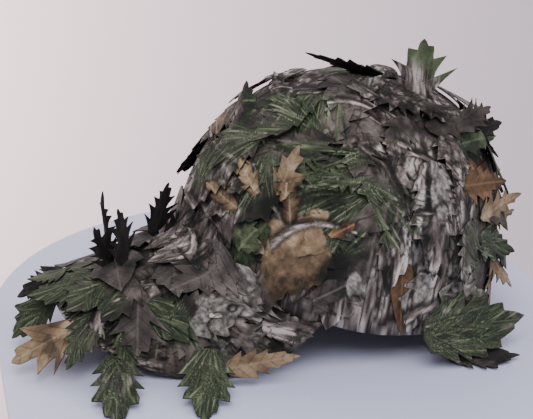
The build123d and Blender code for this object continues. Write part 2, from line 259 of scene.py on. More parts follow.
def leaf(a, b, rgb, length, width, seed, palette, lobes, veins):
    """Printed leaf with forward-swept pointed lobes, ribs and a dark surround."""
    flat = np.zeros_like(a)
    side = (b > 0) * 1.0
    s = (a - 0.55 * np.abs(b)) / length + 0.5
    core = np.clip(s, 0, 1)
    point = np.clip(a / length + 0.5, 0, 1)
    phase = (core * lobes + 0.35 * side + 0.15) % 1.0
    half = width / 2 * np.sin(math.pi * np.clip(core + 0.12, 0, 1) ** 0.9) ** 0.7
    half = half * (0.45 + 0.55 * phase * smooth(1.0, 0.9, phase))
    half = np.minimum(half, width * 0.9 * (1 - point) + 0.3)
    edge = half - np.abs(b)
    along = (np.abs(a) < length / 2) * 1.0
    rgb = tint(rgb, SHADOW, smooth(-2.6, 0.2, edge) * along * 0.8)
    p = np.stack([a, b, flat], -1)
    tone = fbm(p, (9, 7, 9), seed, 4) * 0.85 + 0.1 - 0.2 * np.abs(b) / (half + 1)
    rib = ((a - np.abs(b) * 0.85) / (length / veins)) % 1.0
    colour = ramp(tone, palette) * (1 - 0.5 * smooth(0.1, 0.03, np.abs(rib - 0.5)))[..., None]
    colour = tint(colour, ramp(flat + 0.85, palette), smooth(0.7, 0.25, np.abs(b)) * 0.6)
    return tint(rgb, colour, smooth(-0.25, 0.35, edge) * along)


def twig(a, b, rgb, length, width, seed, bow, tone):
    """Bare branch that tapers and bows."""
    flat = np.zeros_like(a)
    s = a / length + 0.5
    centre = bow * (np.sin(math.pi * np.clip(s, 0, 1)) - 0.5)
    centre = centre + 2.2 * (noise(a / 10, flat, flat, seed) - 0.5)
    half = width / 2 * (1 - 0.6 * np.clip(s, 0, 1))
    off = (b - centre) / half
    along = ((s > 0) & (s < 1)) * 1.0
    rgb = tint(rgb, SHADOW, smooth(2.6, 1.0, np.abs(off - 0.4)) * along * 0.85)
    p = np.stack([a, b * 5, flat], -1)
    light = 0.62 - 0.3 * np.abs(off + 0.35) + 0.5 * (fbm(p, 8, seed + 2, 3) - 0.5)
    return tint(rgb, ramp(light + tone, BARK), smooth(1.1, 0.85, np.abs(off)) * along)


TWIGS = {"twig": (4.0, 0.06), "pale_twig": (9.0, 0.2), "dark_twig": (4.0, -0.12)}  # bow, tone


def motif(kind, a, b, rgb, length, width, seed):
    """One printed motif round its middle, with its length along a."""
    if kind == "needles":
        return needles(a, b, rgb, length, width, seed, 0.06)
    if kind in TWIGS:
        return twig(a, b, rgb, length, width, seed, *TWIGS[kind])
    if kind in PALETTES:
        veins, lobes = (9, 3.4) if kind == "green" else (6, 2.2)
        return leaf(a, b, rgb, length, width, seed, PALETTES[kind], lobes, veins)
    if kind == "lobed":
        return leaf(a, b, rgb, length, width, seed, TAN, 2.4, 5)
    p = np.stack([a, b, a * 0], -1)
    far = np.hypot(a / length * 2, b / width * 2)
    if kind == "shade":
        return tint(rgb, SHADOW, smooth(1.0, 0.55, far) * 0.9)
    if kind == "lichen":
        inside = smooth(1.0, 0.85, far + 0.8 * (fbm(p, 10, seed) - 0.5))
        grain = fbm(p, 2.2, seed + 4, 4)
        vein = smooth(0.0, 0.09, np.abs(fbm(p, 15, seed + 6, 3) - 0.5))
        return tint(rgb, ramp(grain * 0.85, LICHEN) * (0.08 + 0.92 * vein)[..., None], inside)
    # a glow: a square-cornered patch of dry leaf, lighter at its root
    rough = 0.45 * (fbm(p, 11, seed) - 0.5)
    inside = smooth(1.0, 0.92, np.maximum(np.abs(a) / length, np.abs(b) / width) * 2 + rough)
    tone = np.minimum(0.48 - a / length, 0.72) + 0.5 * (fbm(p, 4, seed, 4) - 0.5)
    return tint(rgb, ramp(tone, TAN), inside)


def stamp(p, rgb, motifs):
    """Lay motifs given by root, tip and width over the print at points p of the cap."""
    for k, (kind, root, tip, width, out) in enumerate(motifs):
        run = tip - root
        length = float(np.linalg.norm(run))
        run = run / length
        cross = np.cross(out, run)
        cross /= np.linalg.norm(cross)
        d = p - (root + tip) / 2
        reach = 0.75 * max(length, width) + 6
        near = np.sum(d * d, -1) < reach * reach
        if near.any():
            a, b = d[near] @ run, d[near] @ cross
            rgb[near] = motif(kind, a, b, rgb[near], length, width, 3 + k * 5)
    return rgb


def on_crown(kind, azimuth, height, tip_azimuth, tip_height, width):
    """Motif on the crown, from its root to its tip."""
    root, tip = crown(azimuth, height / HEIGHT, 2.0), crown(tip_azimuth, tip_height / HEIGHT, 2.0)
    return kind, root, tip, width, (root + tip) / 2 - HEART


def on_visor(kind, reach, bend, tip_reach, tip_bend, width):
    """Motif on the visor, from its root to its tip."""
    root, tip = visor(reach, bend, 1.5), visor(tip_reach, tip_bend, 1.5)
    axis = visor(20.0, (bend + tip_bend) / 2, VISOR_CORE)
    return kind, root, tip, width, (root + tip) / 2 - axis


KINDS = ["needles", "tan", "grey", "twig", "needles", "green", "grey", "dark_twig", "twig", "lichen"]
SIZES = {"needles": (48, 34), "tan": (32, 24), "green": (28, 22), "grey": (38, 30),
         "twig": (74, 4.2), "dark_twig": (66, 3.4), "lichen": (26, 18)}  # length, width


def strewn(seed, count, az, heights):
    """Motifs at random over a part of the crown."""
    rng = np.random.default_rng(seed)
    made = []
    for _ in range(count):
        kind = KINDS[rng.integers(len(KINDS))]
        length, width = SIZES[kind]
        size, turn = rng.uniform(0.75, 1.2), rng.uniform(0, 2 * math.pi)
        at, height = rng.uniform(*az), rng.uniform(*heights)
        end = at + math.degrees(length * size * math.sin(turn) / MEAN_RADIUS)
        top = min(134.0, max(-6.0, height + length * size * math.cos(turn)))
        made.append(on_crown(kind, at, height, end, top, width * size))
    return made


CROWN_MOTIFS = strewn(5, 34, (178, 345), (2, 130)) + strewn(6, 12, (0, 60), (60, 132))
# kind, then azimuth and height of the root and of the tip, then width
CROWN_MOTIFS += [on_crown(*row) for row in (
    ("grey", 60, 122, 10, 131, 44), ("grey", 28, 90, 14, 104, 26), ("grey", 13, 78, 38, 88, 26),
    ("needles", 55, 101, 20, 103, 30), ("needles", 30, 88, 8, 66, 26), ("needles", 14, 40, 7, 70, 22),
    ("grey", 62, 96, 30, 90, 20), ("needles", 72, 97, 44, 76, 26), ("shade", 56, 66, 72, 70, 16),
    ("needles", 78, 84, 53, 54, 36), ("needles", 74, 84, 95, 66, 30), ("needles", 68, 34, 75, 60, 18),
    ("dark_twig", 9, 117, 86, 122, 5), ("twig", 44, 118, 76, 118, 4), ("dark_twig", 70, 104, 93, 70, 4),
    ("twig", 84, 108, 112, 92, 4), ("dark_twig", 94, 75, 112, 67, 3.4), ("lobed", 39, 58, 23, 73, 14),
    ("lobed", 34, 44, 14, 48, 13), ("shade", 40, 50, 52, 60, 16), ("grey", 54, 40, 45, 58, 15),
    ("glow", 53, 55, 63, 12, 36), ("lobed", 53, 50, 44, 83, 15), ("green", 37, 10, 46, 49, 26),
    ("twig", 9, 34, 35, 19, 6), ("pale_twig", 48, 36, 74, 63, 5.5), ("rust", 67, 52, 75, 64, 9),
    ("shade", 66, 26, 76, 46, 18), ("grey", 61, 3, 80, 34, 20), ("lichen", 78, 37, 81, 20, 11),
    ("lichen", 104, 22, 103, 48, 12), ("lichen", 104, 70, 104, 98, 14),
    ("pale_twig", 88, -1, 119, 30, 7.5), ("lichen", 118, 47, 123, 22, 20),
    ("needles", 133, 34, 119, 66, 20), ("rust", 144, 84, 120, 102, 26),
    ("green", 118, 110, 146, 104, 22), ("lobed", 150, 50, 146, 78, 20),
    ("needles", 150, 20, 160, 52, 24), ("grey", 165, 66, 168, 100, 26),
)]


def crown_print(p):
    """Print of the crown at rim-frame points, the same on the panels and on the flaps."""
    turn, level = locate(p, 0.0, 1.0)
    az = np.degrees(turn) % 360
    rgb = ground(p, 2)
    patches = smooth(0.5, 0.57, fbm(p, (38, 38, 46), 3, 3))
    rgb = tint(rgb, bark(p, 5, -0.03), patches)
    trunk = smooth(80, 87, az) * smooth(119, 114, az) * smooth(0.86, 0.74, level)
    lower = smooth(60, 70, az) * smooth(119, 114, az) * smooth(0.22, 0.14, level)
    woody = np.maximum(trunk, lower)
    pale = smooth(8, 3, np.abs(az - 93)) * 0.1 + smooth(7, 4, np.abs(az - 104)) * 0.07
    wood = bark(p, 9, 0.03 + pale)
    front = smooth(30, 20, np.minimum(az, 360 - az)) * smooth(0.34, 0.26, level)
    # painted shade: a crease in the cloth down the trunk bark, darker towards the top
    crease_shade = smooth(2.0, 0.8, np.abs(az - 98.5)) * (0.5 + level)
    wood = wood * (1 - 0.7 * crease_shade)[..., None]
    rgb = tint(rgb, wood, np.maximum(woody, front))
    return stamp(p, rgb, CROWN_MOTIFS)


# kind, then reach and bend of the root and of the tip, then width
VISOR_MOTIFS = [on_visor(*row) for row in (
    ("needles", 40, -30, 70, -44, 30), ("grey", 10, -20, 30, -46, 30), ("twig", 0, -50, 60, -20, 5),
    ("tan", 20, -56, 40, -44, 18), ("needles", 50, 2, 84, -22, 40), ("needles", 50, 22, 84, 14, 40),
    ("grey", 28, -16, 44, 26, 36), ("grey", 24, 16, 0, 40, 34), ("twig", 68, 42, 44, 32, 5),
    ("needles", 66, 44, 48, 26, 24), ("lichen", -14, 40, 6, 68, 44), ("needles", 20, 36, 32, 64, 22),
    ("shade", 24, 34, 34, 44, 12), ("dark_twig", 44, 44, 8, 36, 3.5),
)]


def visor_print(p):
    """Print of the visor at rim-frame points."""
    rgb = ground(p, 12)
    patches = smooth(0.47, 0.54, fbm(p, 34, 13, 3))
    return stamp(p, tint(rgb, bark(p[..., [1, 2, 0]], 15), patches), VISOR_MOTIFS)


def cloth_print(style, a, b, length, width, seed):
    """Print of a flap at its own along and across positions."""
    p = np.stack([b + 31.0 * (seed % 7), b * 0.3 + 11.0 * (seed % 5), a + 17.0 * (seed % 11)], -1)
    s = seed % 17
    flat = np.zeros_like(a)
    rgb = ground(p, s)
    if style in ("bark", "pale_bark"):
        rgb = lichen(p, bark(p, s, 0.08 if style == "pale_bark" else 0.0), s + 3, 0.5)
    elif style == "lichen":
        rgb = lichen(p, bark(p, s), s + 5)
    elif style == "needles":
        rgb = tint(rgb, (0.012, 0.024, 0.01), flat + 0.5)
        rgb = needles(a + length * 0.1, b, rgb, length * 1.1, width * 1.9, s, 0.05)
        rgb = needles(a - length * 0.25, b + 3, rgb, length * 0.9, width * 1.6, s + 4, 0.0)
    elif style in ("tan", "green", "grey", "rust"):
        palette = PALETTES[style]
        tone = fbm(p, (9, 9, 14), s, 4) * 0.75 + (0.16 if style != "grey" else 0.12)
        rib = ((a - np.abs(b) * 0.9) / (length / 7)) % 1.0
        rgb = ramp(tone, palette) * (1 - 0.45 * smooth(0.09, 0.03, np.abs(rib - 0.5)))[..., None]
        rgb = tint(rgb, ramp(flat + 0.8, palette), smooth(0.8, 0.3, np.abs(b)) * 0.45)
        stains = smooth(0.62, 0.75, fbm(p, 14, s + 6, 3))
        rgb = tint(rgb, (0.01, 0.009, 0.008), stains * 0.6)
    elif style == "green_tip":
        high = ramp(fbm(p, (9, 9, 14), s, 4) * 0.8 + 0.18, GREEN)
        rgb = tint(bark(p, s, 0.02), high, smooth(-0.15, 0.1, a / length + 0.01 * b))
    elif style == "twigged":
        rgb = twig(a + b * 0.35, b - a * 0.35, bark(p, s), length * 0.6, 6.5, s, 5.0, 0.22)
    elif style == "olive":
        woody = smooth(0.44, 0.52, fbm(p, 16, s + 3, 2))
        rgb = tint(rgb, bark(p, s, -0.04), woody)
        rgb = needles(a + length * 0.05, b, rgb, length * 0.8, width * 2.0, s, -0.02)
        rgb = needles(a - length * 0.3, b - 4, rgb, length * 0.7, width * 1.4, s + 4, 0.02)
    elif style == "dark":
        rgb = rgb * 0.45
    elif style == "black":
        rgb = ramp(fbm(p, (4, 4, 9), s, 3) * 0.55, GROUND)
    return rgb


# ---- materials
WAVES = 0.31416  # a wave texture's scale times the pitch of its bands


def material(name, build):
    mat = bpy.data.materials.new(name)
    mat.use_nodes = True
    build(mat.node_tree, mat.node_tree.nodes["Principled BSDF"])
    return mat


def node(tree, kind, fed=None, **values):
    """New shader node; fed gives the outputs that go into its inputs."""
    made = tree.nodes.new("ShaderNode" + kind)
    for key, value in values.items():
        if key in made.inputs:
            made.inputs[key].default_value = value
        else:
            setattr(made, key, value)
    for key, output in (fed or {}).items():
        tree.links.new(output, made.inputs[key])
    return made


def weave(tree, shader, pitch=0.00065, strength=0.35):
    """Crossed threads and a soft rumple as a bump; gives the object's coordinates."""
    where = node(tree, "TexCoord").outputs["Object"]
    at = {"Vector": where}
    rumple = node(tree, "TexNoise", at, Scale=140.0, Detail=4.0)
    warp, weft = (
        node(tree, "TexWave", at, Scale=WAVES / pitch, Distortion=0.6, bands_direction=axis)
        for axis in "XZ"
    )
    threads = node(tree, "Math", {0: warp.outputs["Fac"], 1: weft.outputs["Fac"]},
                   operation="ADD")
    whole = node(tree, "Math", {0: rumple.outputs["Fac"], 2: threads.outputs[0]},
                 operation="MULTIPLY_ADD")
    whole.inputs[1].default_value = 3.0
    bump = node(tree, "Bump", {"Height": whole.outputs[0]}, Strength=strength, Distance=0.00025)
    tree.links.new(bump.outputs[0], shader.inputs["Normal"])
    return where


def printed(tree, shader):
    """Cloth that shows its painted print through a fine grain."""
    grain = node(tree, "TexNoise", {"Vector": weave(tree, shader)}, Scale=900.0, Detail=3.0)
    tone = node(tree, "MapRange", {"Value": grain.outputs["Fac"]},
                **{"To Min": 0.62, "To Max": 1.38})
    colour = node(tree, "Attribute", attribute_name="print")
    mixed = node(tree, "VectorMath", {0: colour.outputs["Color"], "Scale": tone.outputs[0]},
                 operation="SCALE")
    tree.links.new(mixed.outputs[0], shader.inputs["Base Color"])
    shader.inputs["Roughness"].default_value = 0.82
    shader.inputs["Specular IOR Level"].default_value = 0.25
    shader.inputs["Sheen Weight"].default_value = 0.04


def shaded(tree, shader, cloud, dark, light, spread=1.0):
    """Base colour that goes from dark to light with a noise."""
    shades = node(tree, "ValToRGB", {"Fac": cloud.outputs["Fac"]})
    for stop, side, colour in zip(shades.color_ramp.elements, (-0.5, 0.5), (dark, light)):
        stop.position, stop.color = 0.5 + spread * side, (*colour, 1)
    tree.links.new(shades.outputs["Color"], shader.inputs["Base Color"])


def plain(dark, light, scale=260.0, pitch=0.0009, strength=0.5, rough=0.9, spread=0.5):
    """Woven stuff of one colour with spots."""
    def build(tree, shader):
        spots = node(tree, "TexNoise", {"Vector": weave(tree, shader, pitch, strength)},
                     Scale=scale, Detail=5.0, Roughness=0.65)
        shaded(tree, shader, spots, dark, light, spread)
        shader.inputs["Roughness"].default_value = rough
        shader.inputs["Specular IOR Level"].default_value = 0.2

    return build


PRINT = material("printed_cloth", printed)
REVERSE = material("cloth_reverse", plain(SHADOW, (0.024, 0.02, 0.018)))
BUCKRAM = material("buckram_mesh", plain((0.38, 0.37, 0.33), (0.62, 0.6, 0.55), 500, 0.0016, 0.9))
TAPE = material("black_tape", plain((0.006, 0.006, 0.005), (0.022, 0.02, 0.017), 420, 0.0007))
TWILL = material("sweatband_twill", plain((0.008, 0.008, 0.006), (0.035, 0.032, 0.026), 300, 0.0011))
BOARD = material("visor_board", plain((0.5, 0.49, 0.45), (0.62, 0.61, 0.57), 90, 0.004, 0.1, 0.5))
STEEL = material("washer", plain((0.36, 0.36, 0.36), (0.55, 0.55, 0.55), 700, 0.003, 0.1, 0.4))
STEEL.node_tree.nodes["Principled BSDF"].inputs["Metallic"].default_value = 0.9
HOOKS = material("hook_tape", plain((0.004, 0.004, 0.004), (0.03, 0.03, 0.028), 1800, 0.0018, 1.0, 0.6))
LOOPS = material("loop_tape", plain((0.004, 0.004, 0.004), (0.04, 0.038, 0.034), 1200, 0.0005, 1.0, 1.0))


# ---- meshes
INK = np.array([1.0, 0.955, 0.96]) * 0.93  # overall tone of the printed cloth
CLOTH_THICK, FLAP_THICK = 0.9, 0.55


def cloth(name, front, colours, thick, facing, stands_for=None,
          body="cap", mat=None):
    """Closed thin cloth from a grid of front points: a print in these colours, or one material."""
    rows, cols = front.shape[:2]
    normal = np.cross(np.gradient(front, axis=0), np.gradient(front, axis=1))
    normal /= np.linalg.norm(normal, axis=-1, keepdims=True) + 1e-9
    way = -1 if np.sum(normal * facing) < 0 else 1
    back = front - normal * way * thick
    total = rows * cols
    co = np.concatenate([front.reshape(-1, 3), back.reshape(-1, 3)]) * MM
    i = np.arange(total).reshape(rows, cols)
    quads = np.stack([i[:-1, :-1], i[1:, :-1], i[1:, 1:], i[:-1, 1:]], -1).reshape(-1, 4)[:, ::way]
    ring = np.concatenate([i[0, :-1], i[:-1, -1], i[-1, :0:-1], i[:0:-1, 0]])
    after = np.roll(ring, -1)
    walls = np.stack([ring, after, after + total, ring + total], -1)[:, ::way]
    faces = np.concatenate([quads, quads[:, ::-1] + total, walls])
    mesh = bpy.data.meshes.new(name)
    mesh.vertices.add(len(co))
    mesh.vertices.foreach_set("co", co.ravel())
    mesh.loops.add(faces.size)
    mesh.loops.foreach_set("vertex_index", faces.ravel())
    mesh.polygons.add(len(faces))
    mesh.polygons.foreach_set("loop_start", np.arange(0, faces.size, 4))
    mesh.polygons.foreach_set("material_index", (np.arange(len(faces)) >= len(quads)).astype(int))
    mesh.update(calc_edges=True)
    mesh.validate()
    mesh.shade_smooth()
    if mat is None:
        ink = np.clip(colours.reshape(-1, 3), 0, 1) * INK
        paint_print(mesh, np.concatenate([ink, ink]))
    for side in (mat or PRINT, mat or REVERSE):
        mesh.materials.append(side)
    piece = bpy.data.objects.new(name, mesh)
    bpy.context.scene.collection.objects.link(piece)
    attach(piece, body)
    if stands_for:
        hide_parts(stands_for)


def paint_print(mesh, ink):
    paint = mesh.attributes.new("print", "FLOAT_COLOR", "POINT")
    paint.data.foreach_set("color", np.concatenate([ink, np.ones((len(ink), 1))], 1).ravel())


# how far each outline's teeth sweep forward, and how deep they are cut
LEANS = {"smooth": 0.0, "saw": 0.45, "fern": 0.75, "oak": 0.7, "torn": 0.3, "block": 0.35}
DEPTHS = {"saw": 0.5, "fern": 0.7, "oak": 0.64, "torn": 0.34, "block": 0.42}


def outline(kind, s, teeth, side, seed):
    """Half width of a flap, 0 to 1, along it from base to tip."""
    s = np.clip(s, 0, 1)
    env = 2.1 * (0.04 + 0.96 * s) ** 0.36 * (1 - s) ** 0.92
    if kind in ("torn", "block"):
        env = np.minimum(1.0, 0.72 + s) * np.minimum(1.0, (1.0 - s) * 2.3)
    if kind == "smooth":
        return env
    rng = np.random.default_rng(700 + seed * 2 + side)
    count = max(2, int(teeth))
    cuts = np.cumsum(rng.uniform(0.6, 1.4, count))
    cuts = np.concatenate([[0.0], cuts / cuts[-1]])
    cuts = np.clip(cuts + (0.4 / count) * side * (cuts > 0) * (cuts < 1), 0, 1)
    cell = np.clip(np.searchsorted(cuts, s, side="right") - 1, 0, count - 1)
    phase = (s - cuts[cell]) / np.maximum(cuts[cell + 1] - cuts[cell], 1e-3)
    size = rng.uniform(0.65, 1.1, count)[cell]
    depth = DEPTHS[kind] * size
    sharp = 2.0 if kind in ("oak", "fern") else 1.4
    return env * (1 - depth + depth * np.clip(phase, 0, 1) ** sharp)


def flap_grid(length, width, kind, teeth, seed):
    """Along, across, share of the length, share of the half width, and area of a cut flap."""
    rows = max(14, int(length / STEP))
    cols = max(9, int(width / STEP) | 1)
    s = np.linspace(0.0, 1.0, rows)
    left, right = (
        np.maximum(outline(kind, s, teeth, side, seed), 0.02)[:, None] * width / 2 for side in (0, 1)
    )
    c = np.linspace(-1, 1, cols)[None, :]
    b = np.where(c < 0, c * left, c * right)
    run = length - LEANS[kind] * width * 0.25
    s = s[:, None] + 0 * b
    a = s * run - length / 2 + LEANS[kind] * np.abs(b) * (1 - s) ** 0.6
    share = float(np.sum((left + right) * run / (rows - 1))) / (length * width)
    area = min(max(share, 0.31), 1.0) * width * length
    return a, b, s, b / (np.abs(b).max() + 1e-6), area


def lift_shape(s, c, curl, cup, seed, length):
    """How far a flap stands off: flat at its sewn base, curling towards its tip."""
    ripple = 2.2 * (noise(s * 3 + seed * 0.31, c * 1.3 + 5, s * 0, seed % 20) - 0.5)
    return curl * s**2 + cup * c**2 * (0.3 + s) + ripple * (0.2 + s) * min(1, length / 30)


def flap_cloth(label, front, facing, colours, leaf=False):
    """A flap; a leaf stands for the CAD's leaf of that name."""
    cloth(f"flap_{label}", front, colours, FLAP_THICK, facing,
          f"leaf_{label}" if leaf else None)


SEAMS = [("front_left", 0, 58), ("side_left", 58, 120), ("rear_left", 120, 180),
         ("rear_right", 180, 240), ("side_right", 240, 302), ("front_right", 302, 360)]


def crown_flap(label, azimuth, height, turn, length, width, base, style, kind, teeth, curl, cup,
               seed, leaf=False):
    """Flap laid on the crown, its middle at an azimuth and height, turned from upright."""
    a, b, s, c, area = flap_grid(length, width, kind, teeth, seed)
    side = 1 if azimuth % 360 < 180 else -1
    level = height / HEIGHT
    centre = crown(azimuth, level, base)
    beside = crown(azimuth + side, level, base) - centre
    above = crown(azimuth, level + 0.01, base) - centre
    rear = beside / np.linalg.norm(beside)
    up = above - rear * (above @ rear)
    up /= np.linalg.norm(up)
    swing = math.radians(turn)
    run = up * math.cos(swing) + rear * math.sin(swing)
    cross = rear * math.cos(swing) - up * math.sin(swing)
    p = centre + a[..., None] * run + b[..., None] * cross
    p = onto_crown(p, np.maximum(base + lift_shape(s, c, curl, cup, seed, length), 0.9))
    colours = crown_print(p) if style == "cap" else cloth_print(style, a, b, length, width, seed)
    flap_cloth(label, world(p), world(p) - world(HEART), colours,
               leaf)


def visor_flap(label, reach, bend, turn, length, width, base, style, kind, teeth, curl, cup,
               seed, leaf=False):
    """Flap laid on the visor, its middle at a reach and bend, turned from straight ahead."""
    a, b, s, c, area = flap_grid(length, width, kind, teeth, seed)
    swing = math.radians(turn)
    ahead = a * math.cos(swing) - b * math.sin(swing)
    aside = a * math.sin(swing) + b * math.cos(swing)
    growth = np.maximum(base + lift_shape(s, c, curl, cup, seed, length), 0.7)
    p = visor(reach + ahead, bend + np.degrees(aside / visor_radius(reach)), growth)
    colours = visor_print(p) if style == "cap" else cloth_print(style, a, b, length, width, seed)
    flap_cloth(label, world(p), world(p) - world(visor(reach, bend, VISOR_CORE)), colours * 0.85,
               leaf)


def bridge_flap(label, bend, length, width, base, style, kind, teeth, lap, swing, seed):
    """Flap draped from the crown's foot over the visor's root, lap mm of it on the visor."""
    a, b, s, c, area = flap_grid(length, width, kind, teeth, seed)
    root = np.degrees((b + swing * a) / 74.0) + bend
    inner, _ = visor_span(root)
    feet = visor(inner, root)
    az = np.degrees(np.arctan2(feet[..., 1] / HALF_WIDTH, feet[..., 0] / HALF_LENGTH))
    start = feet[..., 2] - rise(HALF_LENGTH * np.cos(np.radians(az)))
    growth = base + lift_shape(s, c, 3.0, 1.0, seed, length)
    p = 0
    shifts = (-12.0, -8.0, -4.0, 0.0, 4.0, 8.0, 12.0)  # their mean rounds off the corner
    for shift in shifts:
        q = a + length / 2 - (length - lap) + shift
        high = crown(az, (start + np.maximum(-q, 0)) / HEIGHT, growth)
        low = visor(inner + np.maximum(q, 0), root, growth)
        p = p + np.where((q < 0)[..., None], high, low) / len(shifts)
    flap_cloth(label, world(p), world(p) - world(visor(-20.0, bend, VISOR_CORE)),
               cloth_print(style, a, b, length, width, seed))


def free_flap(label, start, tip, facing, length, width, style, kind, teeth, bow, cup, seed,
              held, rests, leaf=False):
    """Flap that stands or hangs from a base point towards a tip, in the cap's own frame."""
    a, b, s, c, area = flap_grid(length, width, kind, teeth, seed)
    start, tip, facing = (np.array(v, float) for v in (start, tip, facing))
    run = tip - start
    run /= np.linalg.norm(run)
    out = facing - run * (facing @ run)
    out /= np.linalg.norm(out)
    ripple = 2.4 * (noise(s * 3.1, c * 1.4 + seed, s * 0, seed % 9) - 0.5) * s
    off = bow * np.sin(math.pi * s * 0.5) ** 2 + cup * c**2 + ripple
    p = start + (a + length / 2)[..., None] * run + b[..., None] * np.cross(run, out)
    p = p + off[..., None] * out
    p[..., 2] = np.maximum(p[..., 2], 1.15 + 0.5 * noise(a / 4, b / 4, a * 0, 7))  # on the table
    flap_cloth(label, p, np.broadcast_to(out, p.shape), cloth_print(style, a, b, length, width, seed),
               leaf)


# ---- printed crown and visor
FOOT, TOP = 0.3 / HEIGHT, 0.997  # levels of a panel's lower and upper edges
PANEL_TALL = 165.0
STITCH = 2.6  # spacing along a row
for panel, start, end in SEAMS:
    azimuth = np.linspace(start + 0.03, end - 0.03, int((end - start) * 1.6 / STEP))[None, :]
    share = np.linspace(0, 1, int(PANEL_TALL / STEP))[:, None]
    level = (FOOT**1.2 + share * (TOP**2.4 - FOOT**1.2)) ** 0.5 + 0 * azimuth
    azimuth = azimuth + 0 * level
    if panel.startswith("rear"):
        # the rear panels start above the opening
        side = np.abs(HALF_WIDTH * np.sin(np.radians(azimuth)))
        arch = OPENING_ARCH * np.sqrt(np.maximum(0, 1 - (side / OPENING_HALF) ** 2))
        low = np.where(side < OPENING_HALF, OPENING_FOOT + arch, 0.3) / HEIGHT
        level = low + (level - FOOT) * (TOP - low) / (TOP - FOOT)
    hang = 5.0 * smooth(76, 66, np.abs((azimuth + 180) % 360 - 180))  # over the visor's root
    level = level - (hang / HEIGHT) * (1 - (level - level[:1]) / (TOP - level[:1])) ** 8
    p = crown(azimuth, level, 0.15)
    seam = np.radians(np.minimum(azimuth - start, end - azimuth)) * np.hypot(p[..., 0], p[..., 1])
    p = crown(azimuth, level, 0.15 - 0.5 * smooth(1.6, 0.0, seam))
    colours = crown_print(p)
    for row in (2.2, 6.0):
        line = smooth(0.5, 0.2, np.abs(seam - row)) * smooth(0.35, 0.55, (level * 50) % 1.0)
        colours = tint(colours, (0.01, 0.009, 0.008), line * 0.8)
    cloth(f"cloth_{panel}", world(p), colours, CLOTH_THICK, world(p) - world(HEART),
          f"crown_panel_{panel}")

# the visor's edge, from its front to where it meets the crown: reach and side
EDGE = np.array([(84, 3), (77.8, -13), (59.6, -35.5), (34, -54.5), (4, -63.5), (-25, -62.5), (-50, -53)])
knots = np.linspace(0, 1, len(EDGE))
fine = np.linspace(0, 1, 400)
tangent = np.gradient(EDGE, knots, axis=0)
cell = np.clip(np.searchsorted(knots, fine, side="right") - 1, 0, len(EDGE) - 2)
h = knots[1]
t = ((fine - knots[cell]) / h)[:, None]
spline = ((2 * t**3 - 3 * t**2 + 1) * EDGE[cell] + (t**3 - 2 * t**2 + t) * h * tangent[cell]
          + (-2 * t**3 + 3 * t**2) * EDGE[cell + 1] + (t**3 - t**2) * h * tangent[cell + 1])
spline = spline[spline[:, 1] <= 0]
edge_bend = np.degrees(np.arccos(1 + spline[:, 1] / visor_radius(spline[:, 0])))
widest = int(np.argmax(edge_bend))
MAX_BEND = float(edge_bend[widest])
BENDS = np.linspace(-MAX_BEND + 0.4, MAX_BEND - 0.4, int(230 / STEP))


def visor_span(bend):
    """Inner and outer reach of the visor at each bend."""
    side = np.abs(bend)
    outer = np.interp(side, edge_bend[: widest + 1], spline[: widest + 1, 0])
    rear = edge_bend[widest:][::-1]
    inner_side = np.interp(side, rear, spline[widest:, 0][::-1])
    low, high = np.full(bend.shape, -60.0), np.full(bend.shape, 8.0)
    for _ in range(30):
        mid = (low + high) / 2
        p = visor(mid, bend)
        inside = np.hypot(p[..., 0] / (HALF_LENGTH + 0.5), p[..., 1] / (HALF_WIDTH + 0.5)) < 1
        low, high = np.where(inside, mid, low), np.where(inside, high, mid)
    return np.maximum(low, np.where(side > rear[0], inner_side, -60)), outer


def visor_sheet(name, growth, way, stands_for):
    """Cover of the board with quilted stitch rows; way is 1 on top and -1 under it."""
    inner, outer = visor_span(BENDS)
    reach = inner + (outer - 2.2 - inner) * np.linspace(0, 1, int(110 / STEP))[:, None]
    bends = BENDS + 0 * reach
    p = visor(reach, bends, growth)
    rgb = visor_print(p) * 0.8
    gap = outer - reach
    dash = smooth(0.3, 0.42, (np.radians(bends) * ARC_RADIUS / STITCH) % 1.0)
    for row in np.arange(7.0, 62.0, 8.0):
        rgb = tint(rgb, (0.012, 0.011, 0.009), smooth(0.55, 0.2, np.abs(gap - row)) * dash * 0.85)
        dip = 0.25 * smooth(1.3, 0.0, np.abs(gap - row))
        p = p - way * dip[..., None] * np.array([0.3, 0, 0.9])
    facing = (world(p) - world(visor(20.0, 0.0, VISOR_CORE))) * way
    cloth(name, world(p), rgb, CLOTH_THICK, facing,
          stands_for)


visor_sheet("visor_cloth_top", 0.1, 1, "visor_top_cover")
visor_sheet("visor_cloth_under", -4.4, -1, "visor_under_cover")

# binding folded round the visor's edge, with a stitch row on each face
_, rim_reach = visor_span(BENDS)
along = BENDS[:, None] + np.zeros(7)
profile = np.array([-2.6, -1.2, -0.3, 0.0, -0.3, -1.2, -2.6]) + 0 * along
lift = np.array([0.35, 0.25, -0.4, -2.2, -4.0, -4.65, -4.75]) + 0 * along
p = visor(rim_reach[:, None] + profile, along, lift)
arc = np.radians(along) * ARC_RADIUS
colours = bark(np.stack([profile * 2 + 30, arc, p[..., 2]], -1), 4, 0.02)
stitches = smooth(0.55, 0.3, np.abs(np.abs(lift + 2.2) - 2.5)) * smooth(0.3, 0.42, (arc / STITCH) % 1.0)
colours = tint(colours, (0.012, 0.011, 0.01), stitches)
cloth("visor_cloth_edge", world(p), colours, 0.4, world(p) - world(visor(30.0, 0.0, -2.2)),
      "visor_edge_binding")

